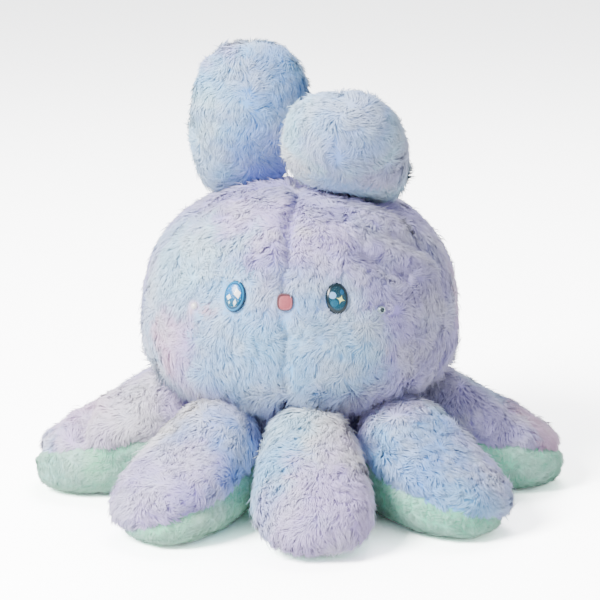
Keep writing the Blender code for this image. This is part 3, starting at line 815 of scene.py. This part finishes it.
def make_head():
    panels = [*HEAD_PANELS, "head_base"]
    fittings = head_fittings()
    skin = soft_skin("head_skin", [*panels, "head_stuffing"], HEAD_VOXEL, HEAD_CAP, fittings)
    points = get_points(skin.data)
    label, seam = nearest_panels(points, panels)
    crown = smooth_step((points[:, 2] - 0.20) / 0.03)
    press_seams(skin, seam, *HEAD_SEAM)
    press_seams(skin, seam, *CROWN_SEAM, crown)
    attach(skin, "head")
    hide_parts(*panels, "head_stuffing")
    for fold in HEAD_FOLDS:
        press_fold(skin, *fold)

    def colour_of(points, label):
        top = paint(points, LAVENDER, HEAD_PATCHES, DYE_SEEDS["head"])
        under = paint(points, MINT, [], DYE_SEEDS["base"])
        return np.where((label < len(HEAD_PANELS))[:, None], top, under)

    points = get_points(skin.data)
    set_attribute(skin.data, "dye_and_shade", colour_of(points, label))
    dress(skin.data, CLOTH)

    rng = np.random.default_rng(COAT_SEEDS["head"])
    roots, normals, nearest = scatter(skin.data, SPACING, rng)
    where, edge = label[nearest], seam[nearest]
    hidden = roots[:, 2] < HEAD_BARE
    for index, panel in enumerate(HEAD_PANELS):
        grown = (where == index) & ~hidden
        if "back" in panel:
            grown &= rng.uniform(0, 1, len(roots)) < BACK_SHARE
        for centre, radius in fittings:
            grown &= np.linalg.norm(roots - centre, axis=1) > radius * 0.8
        high = roots[:, 2] >= CROWN_HEIGHT
        for part, share in (("crown", high), ("cheek", ~high)):
            keep = grown & share
            p, n = roots[keep], normals[keep]
            name = f"{panel}_{part}_pile"
            mesh = head_pile(name, p, n, edge[keep], fittings, colour_of(p, where[keep]), rng)
            azimuth = np.arctan2(p[:, 0], -p[:, 1])
            if "back" in panel:
                azimuth = azimuth % (2 * math.pi)
            map_locks(mesh, spread(np.stack([azimuth, p[:, 2] - np.hypot(p[:, 0], p[:, 1])], axis=1)))
            mesh.materials.append(PILE)
            coat = add_object(name, mesh)
            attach(coat, "head")
    keep = (where == len(HEAD_PANELS)) & (roots[:, 2] > 0.004)
    p, n = roots[keep], normals[keep]
    lay = comb(p, n, np.array([0, 0, -1.0]), COMB_SEEDS["base"], 0.6)
    mesh = grow("head_base_nap", p, n, lay, SHORT, np.ones(len(p)), colour_of(p, where[keep]), rng)
    map_locks(mesh, spread(np.stack([np.arctan2(p[:, 0], -p[:, 1]) / math.pi * 0.2, p[:, 2]], axis=1)))
    mesh.materials.append(NAP)
    coat = add_object("head_base_nap", mesh)
    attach(coat, "head")


# Ears

EAR_COLOURS = {
    "left": (
        SKY,
        [
            ((-1.0, 0.5), 0.024, ICE, 1.0),
            ((-0.6, 0.97), 0.025, LILAC, 0.7),
            ((0.4, 0.30), 0.055, BLUE, 0.9),
            ((0.6, 0.15), 0.040, PERIWINKLE, 0.9),
            ((0.4, 0.8), 0.030, BLUE, 0.8),
        ],
    ),
    "right": (
        ICE,
        [
            # painted shade on the right ear's right side
            ((0.7, 0.5), 0.040, LAVENDER_IN_PAINTED_SHADE, 0.9),
            ((-0.9, 0.4), 0.030, CREAM, 0.7),
            ((0.1, 0.95), 0.035, PERIWINKLE, 0.7),
            ((0.0, 0.35), 0.03, SKY, 0.6),
        ],
    ),
}
EAR_WIDTH = 0.100
# The way each ear leans: towards an azimuth, by an angle from upright, both in degrees; and its length
EAR_LEAN = {"left": (0.0, 3.0, 0.119), "right": (-10.0, 42.0, 0.108)}


def make_ear(side, number):
    body = f"{side}_ear"
    panels = [f"{body}_front", f"{body}_back"]
    skin = soft_skin(f"{body}_skin", [*panels, f"{body}_stuffing"], LIMB_VOXEL, EAR_CAP)
    label, seam = nearest_panels(get_points(skin.data), panels)
    press_seams(skin, seam, *EAR_SEAM)
    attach(skin, body)
    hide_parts(*panels, f"{body}_stuffing")
    root = np.array(JOINTS[body]["pos_m"], float)
    azimuth, lean, length = EAR_LEAN[side]
    toward = np.array(around(azimuth, 1.0, 0.0))
    across = np.cross((0.0, 0.0, 1.0), toward)
    up = toward * math.sin(math.radians(lean)) + np.array([0, 0, math.cos(math.radians(lean))])

    def local(points):
        return np.stack([(points - root) @ across, (points - root) @ up], axis=1)

    def colour_of(points):
        ground, patches = EAR_COLOURS[side]
        flat = np.column_stack([local(points), np.zeros(len(points))])
        scaled = [((u * EAR_WIDTH / 2, v * length, 0.0), r, d, s) for (u, v), r, d, s in patches]
        return paint(flat, ground, scaled, DYE_SEEDS["ear"] + number)

    set_attribute(skin.data, "dye_and_shade", colour_of(get_points(skin.data)))
    dress(skin.data, CLOTH)
    rng = np.random.default_rng(COAT_SEEDS["ear"] + number)
    roots, normals, nearest = scatter(skin.data, SPACING, rng)
    for index, face in enumerate(("front", "back")):
        keep = (label[nearest] == index) & (local(roots)[:, 1] > 0.001)
        p, n, edge = roots[keep], normals[keep], seam[nearest][keep]
        lean_way = -up[None] * 0.8 + 0.4 * across[None] * np.sign(local(p)[:, :1])
        lay = comb(p, n, lean_way, COMB_SEEDS["ear"] + number, 0.8)
        trim = 0.7 + 0.3 * smooth_step(edge / 0.006)
        trim *= 1 + 0.7 * smooth_step((0.022 - local(p)[:, 1]) / 0.016)
        mesh = grow(f"{body}_{face}_pile", p, n, lay, LONG, trim, colour_of(p), rng)
        map_locks(mesh, spread(local(p)))
        mesh.materials.append(PILE)
        coat = add_object(f"{body}_{face}_pile", mesh)
        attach(coat, body)


# Eyes, beads and mouth


def fitting_frame(front, back):
    """A frame on a fitting: +Z straight out, +Y up and +X to the viewer's right, and its half sizes."""
    near, far = get_points(frame["nodes"][front].data), get_points(frame["nodes"][back].data)
    outward = unit(near.mean(axis=0) - far.mean(axis=0))
    right = unit(np.cross((0.0, 0.0, 1.0), outward))
    up = np.cross(outward, right)
    axes = np.stack([right, up, outward])
    local = near @ axes.T
    low, high = local.min(axis=0), local.max(axis=0)
    origin = np.array([(low[0] + high[0]) / 2, (low[1] + high[1]) / 2, low[2]]) @ axes
    matrix = Matrix.Translation(origin) @ Matrix(axes.T.tolist()).to_4x4()
    return matrix, (high - low) / np.array([2, 2, 1])


def ring_faces(rings, segments):
    """The faces of a closed shape whose points are rings, from its base to its top."""
    faces = []
    for ring in range(rings - 1):
        a, b = ring * segments, (ring + 1) * segments
        for k in range(segments):
            n = (k + 1) % segments
            faces.append((a + k, a + n, b + n, b + k))
    faces.append(tuple(range(segments))[::-1])
    faces.append(tuple((rings - 1) * segments + k for k in range(segments)))
    return faces


def lathe(name, half_sizes, profile, segments):
    """A closed shape whose rings are (share of the half sizes, height), from its base to its top."""
    angles = np.linspace(0, 2 * math.pi, segments, endpoint=False)
    points = []
    for share, height in profile:
        for angle in angles:
            x, y = half_sizes[0] * share * math.cos(angle), half_sizes[1] * share * math.sin(angle)
            points.append((x, y, height))
    mesh = mesh_from_arrays(name, points, ring_faces(len(profile), segments))
    mesh.set_sharp_from_angle(angle=math.radians(50))
    return mesh


def blob(nodes, links, position, centre, size, power, turn=0.0):
    """1 inside |x|^power + |y|^power = 1 and 0 outside: an ellipse at 2, a rhombus at 1, a star at 0.5."""
    shift = nodes.new("ShaderNodeVectorMath")
    shift.operation = "SUBTRACT"
    shift.inputs[1].default_value = (*centre, 0.0)
    links.new(position, shift.inputs[0])
    rotate = nodes.new("ShaderNodeVectorRotate")
    rotate.rotation_type = "Z_AXIS"
    rotate.inputs["Angle"].default_value = math.radians(turn)
    links.new(shift.outputs[0], rotate.inputs["Vector"])
    split = nodes.new("ShaderNodeSeparateXYZ")
    links.new(rotate.outputs[0], split.inputs[0])
    total = None
    for output, half in zip(split.outputs[:2], size, strict=True):
        value = maths(nodes, links, "ABSOLUTE", maths(nodes, links, "DIVIDE", output, half), 0.0)
        value = maths(nodes, links, "POWER", value, power)
        total = value if total is None else maths(nodes, links, "ADD", total, value)
    return maths(nodes, links, "SUBTRACT", 1.0, ramp(nodes, links, total, 0.85, 1.15))


MM = 0.001
# The print's colours; its lights, as (centre, half sizes) in millimetres, power, turn, colour, strength;
# and how much of it glitters
EYES = {
    "left": {
        "rim": "#01102E",
        "ring": "#1292CC",
        "inner": "#02284A",
        "top": "#0080CC",
        "bottom": "#045474",
        "lights": [
            ((3.4, 2.2), (2.9, 4.4), 1.0, -18.0, "#FFFFFF", 1.0),
            ((-3.4, -1.2), (2.3, 2.5), 1.0, 10.0, "#F4FFFF", 0.95),
            ((2.2, -5.2), (1.4, 3.2), 1.0, 6.0, "#F4FFFF", 0.9),
            ((-2.6, -5.4), (0.9, 1.5), 1.0, 0.0, "#DDFBF6", 0.8),
        ],
        "glitter": 0.65,
    },
    "right": {
        "rim": "#000A10",
        "ring": "#01222E",
        "inner": "#011C28",
        "top": "#022F3E",
        "bottom": "#02445A",
        "lights": [
            ((-4.0, 2.3), (2.8, 2.8), 2.0, 0.0, "#86B4E6", 0.9),
            ((-3.2, -4.0), (3.0, 2.7), 2.0, 0.0, "#2A7698", 0.35),
            ((2.2, -1.2), (4.4, 4.0), 0.5, 20.0, "#E4EE9C", 1.0),
            ((3.6, 4.5), (1.6, 2.2), 2.0, 0.0, "#0A5F92", 0.6),
        ],
        "glitter": 0.12,
    },
}


def make_iris(side, half_sizes):
    """The print behind an eye's clear dome, under a glossy coat."""
    eye = EYES[side]
    material, nodes, links, shader = new_material(
        f"{side}_iris_print", 0.25, Coat_Weight=0.5, Coat_Roughness=0.04, Specular_IOR_Level=0.3
    )
    position = nodes.new("ShaderNodeTexCoord").outputs["Object"]
    height = nodes.new("ShaderNodeSeparateXYZ")
    links.new(position, height.inputs[0])
    rise = ramp(nodes, links, height.outputs["Y"], -half_sizes[1] * 0.6, half_sizes[1] * 0.6)
    colour = mix(nodes, links, rise, eye["bottom"], eye["top"])
    sparkle = noise(nodes, links, position, 1500.0, 2.0)
    sparkle = maths(nodes, links, "MULTIPLY", ramp(nodes, links, sparkle, 0.60, 0.70), eye["glitter"])
    colour = mix(nodes, links, sparkle, colour, "#E6FFFF")
    for centre, size, power, turn, tint, strength in eye["lights"]:
        centre, size = [c * MM for c in centre], [s * MM for s in size]
        spot = blob(nodes, links, position, centre, size, power, turn)
        colour = mix(nodes, links, maths(nodes, links, "MULTIPLY", spot, strength), colour, tint)
    for share, tint in ((0.76, eye["inner"]), (0.84, eye["ring"]), (0.93, eye["rim"])):
        inside = blob(nodes, links, position, (0.0, 0.0), [h * share for h in half_sizes[:2]], 2.0)
        colour = mix(nodes, links, inside, tint, colour)
    links.new(colour, shader.inputs["Base Color"])
    return material


def plastic(name, colour, second, roughness, **sockets):
    """Moulded plastic with faint flow marks in its colour and a slightly uneven surface."""
    material, nodes, links, shader = new_material(name, roughness, **sockets)
    position = nodes.new("ShaderNodeTexCoord").outputs["Object"]
    flow = ramp(nodes, links, noise(nodes, links, position, 420.0), 0.35, 0.7)
    links.new(mix(nodes, links, flow, colour, second), shader.inputs["Base Color"])
    bump = nodes.new("ShaderNodeBump")
    bump.inputs["Strength"].default_value = 0.15
    bump.inputs["Distance"].default_value = 0.0001
    links.new(noise(nodes, links, position, 2500.0), bump.inputs["Height"])
    links.new(bump.outputs["Normal"], shader.inputs["Normal"])
    return material


def fit_piece(name, mesh, matrix, material, node):
    if material:
        mesh.materials.append(material)
    piece = add_object(name, mesh)
    piece.matrix_world = matrix
    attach(piece, "head")
    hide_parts(node)


DOME_STEPS = 16
DOME_EDGE = 0.0008  # the height at which the dome starts to curve


def make_eye(side, plate_material):
    matrix, half = fitting_frame(f"{side}_eye_lens", f"{side}_eye_plate")
    dome = [(0.965, -0.0002), (1.0, 0.0003), (1.0, DOME_EDGE)]
    for step in range(1, DOME_STEPS + 1):
        angle = math.pi / 2 * step / DOME_STEPS
        dome.append((max(math.cos(angle), 0.004), DOME_EDGE + (half[2] - DOME_EDGE) * math.sin(angle)))
    mesh = lathe(f"{side}_eye_dome", half, dome, 64)
    fit_piece(f"{side}_eye_dome", mesh, matrix, make_iris(side, half), f"{side}_eye_lens")
    dress(frame["nodes"][f"{side}_eye_plate"].data, plate_material)


BEAD_HEIGHT = 0.0046  # from the foot of a bead to its top
REFLECTION_SHARE = 0.58  # of the crystal's half size, within which its outward facets carry a painted reflection


def make_beads():
    pearl = plastic("pearl", "#F4EFF0", "#E9DDE6", 0.18, Coat_Weight=0.8, Coat_Roughness=0.08)
    crystal = plastic("crystal", "#B9C8D2", "#7F959F", 0.10, Coat_Weight=0.8, Metallic=0.3)
    # painted reflection: deep teal on the clear crystal's middle facets, for what they reflect
    painted_reflection = plastic("crystal_painted_reflection", "#1F3A44", "#37525C", 0.15, Coat_Weight=0.8)
    matrix, half = fitting_frame("left_cheek_bead", "left_bead_washer")
    top = half[2]
    low = top - BEAD_HEIGHT
    curve = [(0.80, low)]
    curve += [
        (math.cos(a), low + (top - low) * (0.32 + 0.68 * math.sin(a)))
        for a in np.linspace(-0.4, math.pi / 2 - 0.02, 14)
    ]
    mesh = lathe("left_pearl", half, curve, 40)
    fit_piece("left_pearl", mesh, matrix, pearl, "left_cheek_bead")
    matrix, half = fitting_frame("right_cheek_bead", "right_bead_washer")
    cut = [(0.85, low), (1.12, low + 0.0012), (1.12, low + 0.0026), (0.95, top - 0.0012)]
    cut += [(0.80, top - 0.0004), (0.62, top - 0.0007), (0.50, top - 0.0017), (0.10, top - 0.0020)]
    mesh = lathe("right_crystal", half, cut, 16)
    mesh.materials.append(crystal)
    mesh.materials.append(painted_reflection)
    # the middle facets that face outwards get the painted reflection
    for face in mesh.polygons:
        if np.hypot(*face.center[:2]) < REFLECTION_SHARE * half[0]:
            face.material_index = int(face.normal.z > 0.2)
    fit_piece("right_crystal", mesh, matrix, None, "right_cheek_bead")


STITCH = 0.00085  # from one row of thread to the next
MOUTH_HALF = (0.0065, 0.0069)
MOUTH_TOP = 0.0026
CORD_SHARE = 0.86  # where the corded edge runs, as a share of the pad's half size
CORD_HEIGHT = 0.0006


def make_mouth():
    """A rounded pad of satin stitches inside a corded edge."""
    low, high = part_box("mouth_pad")
    centre = np.array((low + high) / 2)
    outward = unit(centre * np.array([1, 1, 0]) + np.array([0, 0, 0.025]))
    right = unit(np.cross((0.0, 0.0, 1.0), outward))
    up = np.cross(outward, right)
    matrix = Matrix.Translation(centre) @ Matrix(np.stack([right, up, outward]).T.tolist()).to_4x4()
    angles = np.linspace(0, 2 * math.pi, 120, endpoint=False)
    squarish = (np.abs(np.cos(angles)) ** 3 + np.abs(np.sin(angles)) ** 3) ** (-1 / 3)
    points = []
    shares = [0.96, 1.0, 0.99] + list(np.linspace(0.94, 0.01, 34))
    for index, share in enumerate(shares):
        for angle, stretch in zip(angles, squarish, strict=True):
            x = MOUTH_HALF[0] * share * stretch * math.cos(angle)
            y = MOUTH_HALF[1] * share * stretch * math.sin(angle)
            height = MOUTH_TOP * (1 - share**6) ** 0.5 * (0.75 + 0.25 * (1 - share**2))
            if index == 0:
                height = -0.0012
            twist = CORD_HEIGHT + 0.00018 * math.cos(30 * angle)
            height += math.exp(-(((share - CORD_SHARE) / 0.07) ** 2)) * twist
            if index > 2 and share < 0.78:
                height += 0.00014 * math.cos(2 * math.pi * (y + 0.25 * x) / STITCH)
            points.append((x, y, height))
    mesh = mesh_from_arrays("mouth_stitches", points, ring_faces(len(shares), len(angles)))
    material, nodes, links, shader = new_material("satin_thread", 0.5, Sheen_Weight=0.4)
    position = nodes.new("ShaderNodeTexCoord").outputs["Object"]
    inner = blob(nodes, links, position, (0.0007, -0.0007), [h * 0.80 for h in MOUTH_HALF], 3.0)
    thread = nodes.new("ShaderNodeTexWave")
    thread.bands_direction = "Y"
    thread.inputs["Scale"].default_value = 2 * math.pi / STITCH / 20
    thread.inputs["Distortion"].default_value = 0.6
    links.new(position, thread.inputs["Vector"])
    pink = mix(nodes, links, thread.outputs["Fac"], "#8A3442", "#BE606C")
    links.new(mix(nodes, links, inner, "#54202C", pink), shader.inputs["Base Color"])
    fit_piece("mouth_stitches", mesh, matrix, material, "mouth_pad")


def make_face():
    plate = plastic("plate_plastic", "#0D4A66", "#12607E", 0.25, Coat_Weight=0.5)
    washer = plastic("washer_plastic", "#E8E8E4", "#DCDCD8", 0.5)
    for side in ("left", "right"):
        make_eye(side, plate)
        for node in (f"{side}_eye_washer", f"{side}_bead_washer"):
            dress(frame["nodes"][node].data, washer)
    make_beads()
    make_mouth()


# Stage, light and camera


FLOOR_REACH = 14.0  # flat, with no wall, so that the toy can be seen from every side
PAPER_WHITE = 0.85
PAPER_GLOW = 4.0  # what the camera sees instead
WORLD_LIGHT = 0.75
WORLD_GLOW = 3.2  # added for the camera alone
LIGHT_TARGET = (0.0, 0.0, 0.15)
# Each light has a place, a size, a power in watts and a colour
LIGHTS = {
    "key": ((-1.5, -1.3, 1.7), 1.1, 165.0, (1.0, 0.99, 0.97)),
    "fill": ((1.8, -1.6, 1.0), 1.6, 2.5, (0.95, 0.97, 1.0)),
    "top": ((0.2, 0.9, 2.0), 1.2, 36.0, (1.0, 1.0, 1.0)),
}


def make_stage():
    corners = [(x * FLOOR_REACH, y * FLOOR_REACH, 0.0) for x, y in ((-1, -1), (1, -1), (1, 1), (-1, 1))]
    floor = add_object("floor", mesh_from_arrays("floor", corners, [(0, 1, 2, 3)]))
    floor.data.materials.append(make_paper())


def make_paper():
    """White studio paper: it looks overexposed, and sends a plain white's light back to the toy."""
    material = bpy.data.materials.new("paper")
    material.use_nodes = True
    nodes, links = material.node_tree.nodes, material.node_tree.links
    nodes.remove(nodes["Principled BSDF"])
    path = nodes.new("ShaderNodeLightPath")
    blend = nodes.new("ShaderNodeMix")
    blend.data_type = "VECTOR"
    blend.inputs[4].default_value = [PAPER_WHITE] * 3
    blend.inputs[5].default_value = [PAPER_GLOW] * 3
    links.new(path.outputs["Is Camera Ray"], blend.inputs["Factor"])
    diffuse = nodes.new("ShaderNodeBsdfDiffuse")
    links.new(blend.outputs[1], diffuse.inputs["Color"])
    links.new(diffuse.outputs[0], nodes["Material Output"].inputs["Surface"])
    return material


def area_light(name, place, size, power, colour):
    data = bpy.data.lights.new(name, "AREA")
    data.shape = "DISK"
    data.size = size
    data.energy = power
    data.color = colour
    light = bpy.data.objects.new(name, data)
    bpy.context.scene.collection.objects.link(light)
    light.location = place
    light.rotation_euler = (Vector(LIGHT_TARGET) - Vector(place)).to_track_quat("-Z", "Y").to_euler()


def make_lights():
    for name, light in LIGHTS.items():
        area_light(name, *light)
    world = bpy.data.worlds.new("studio")
    bpy.context.scene.world = world
    world.use_nodes = True
    nodes, links = world.node_tree.nodes, world.node_tree.links
    background = nodes["Background"]
    background.inputs["Color"].default_value = (0.97, 0.98, 1.0, 1.0)
    seen = nodes.new("ShaderNodeLightPath").outputs["Is Camera Ray"]
    extra = maths(nodes, links, "MULTIPLY", seen, WORLD_GLOW)
    links.new(maths(nodes, links, "ADD", extra, WORLD_LIGHT), background.inputs["Strength"])


def make_camera():
    elevation = math.radians(12.0)
    distance = 2.2
    aim_height = 0.2
    below_aim = math.radians(1.08)  # the view is tilted down a little, which leaves room above the ears
    data = bpy.data.cameras.new("camera")
    data.lens = 159.6
    data.sensor_width = 36.0
    camera = bpy.data.objects.new("camera", data)
    bpy.context.scene.collection.objects.link(camera)
    camera.location = (
        0.0,
        -distance * math.cos(elevation),
        aim_height + distance * math.sin(elevation),
    )
    camera.rotation_euler = (math.pi / 2 - elevation - below_aim, 0.0, 0.0)
    bpy.context.scene.camera = camera


make_camera()
make_stage()
make_lights()
make_head()
for number, place in enumerate(PLACES):
    make_arm(place, number)
make_ear("left", 0)
make_ear("right", 1)
make_face()
